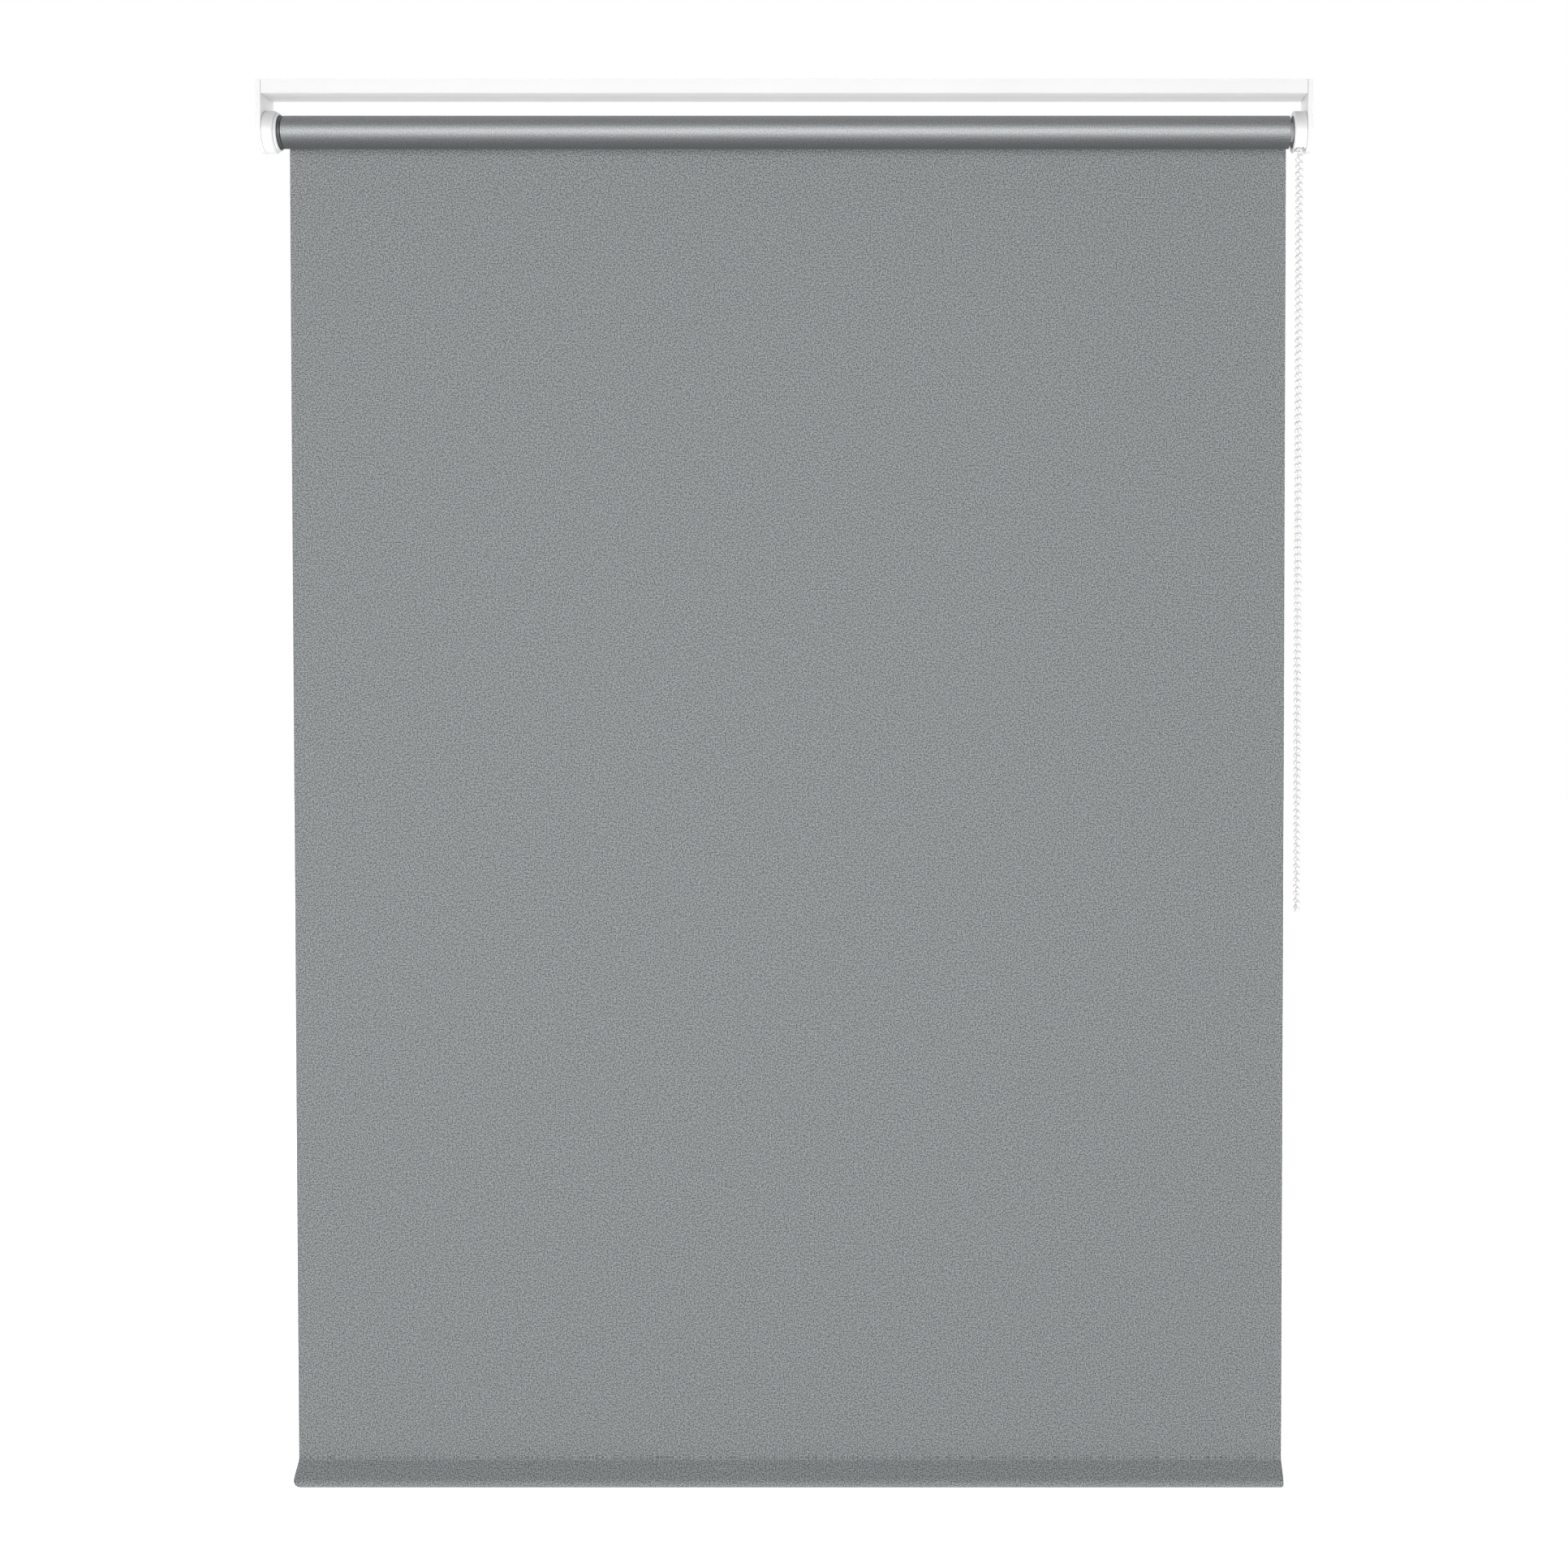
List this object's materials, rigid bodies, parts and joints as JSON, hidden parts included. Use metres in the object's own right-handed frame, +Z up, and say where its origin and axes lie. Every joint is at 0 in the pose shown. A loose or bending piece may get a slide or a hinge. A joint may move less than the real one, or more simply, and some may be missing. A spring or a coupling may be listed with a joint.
{
  "type": "roller blind",
  "caption": "Chain-operated roller blind: slim head rail, round-ended side brackets, fabric roll, hanging sheet with a weighted hem, bead chain on the right.",
  "frame": {"origin": "centre of the head rail's top face, on the middle mounting clip, where the ceiling or lintel holds the blind", "axes": "+Z up; -Y towards the room, so the sheet's front is seen looking along +Y; +X along the rail to the chain side"},
  "size_m": [0.9, 0.036, 1.222],
  "materials": {
    "white_metal": "white satin powder coat",
    "white_plastic": "white moulded plastic",
    "dark_plastic": "dark grey moulded plastic",
    "chain_plastic": "white moulded beads",
    "steel": "zinc plated",
    "aluminium": "mill finish",
    "fabric_matte": "fine matte blackout cloth, room side",
    "fabric_reverse": "pearl-coated reverse side"
  },
  "bodies": {
    "head": {"head_rail": "white_metal", "idle_bracket": "white_plastic", "drive_bracket": "white_plastic", "idle_bracket_screw": "steel", "drive_bracket_screw": "steel", "mounting_clip_left": "steel", "mounting_clip_middle": "steel", "mounting_clip_right": "steel", "idle_drum": "white_plastic", "drive_housing": "white_plastic", "chain_guard": "white_plastic", "stator_spindle": "steel", "spindle_screw": "steel", "spindle_washer": "steel", "washer_screw": "steel", "fabric_sheet": "fabric_matte"},
    "roller": {"roller_tube": "aluminium", "fixing_strip": "dark_plastic", "fabric_wraps": "fabric_reverse", "drive_core": "white_plastic", "sprocket": "dark_plastic", "chain_on_sprocket": "chain_plastic", "clutch_spring_inner": "steel", "clutch_spring_outer": "steel", "idle_plug": "dark_plastic", "spring_seat": "dark_plastic", "idle_pin_spring": "steel"},
    "pin": {"idle_pin": "steel"},
    "hem": {"hem_pocket": "fabric_matte", "bottom_bar": "aluminium", "bar_cap_left": "dark_plastic", "bar_cap_right": "dark_plastic"},
    "chain": {"pull_chain": "chain_plastic"}
  },
  "joints": [
    {"name": "fabric_lift", "type": "slide", "parent": "head", "child": "hem", "axis": [0, 0, 1], "range_m": [0, 1.126], "deforming": ["fabric_sheet"]},
    {"name": "roller_turn", "type": "hinge", "parent": "head", "child": "roller", "pos_m": [0, 0, -0.042], "axis": [1, 0, 0], "range_deg": [0, 4033]},
    {"name": "idle_pin_press", "type": "slide", "parent": "roller", "child": "pin", "axis": [1, 0, 0], "range_m": [0, 0.0068], "stiffness_N_per_m": 500, "springref_m": -0.004, "deforming": ["idle_pin_spring"]},
    {"name": "chain_swing", "type": "hinge", "parent": "head", "child": "chain", "pos_m": [0.44165, 0, -0.058], "axis": [0, -1, 0], "range_deg": [-6, 20]}
  ],
  "couplings": [
    {"joint": "roller_turn", "follows": "fabric_lift", "rad_per_m": 62.5}
  ]
}
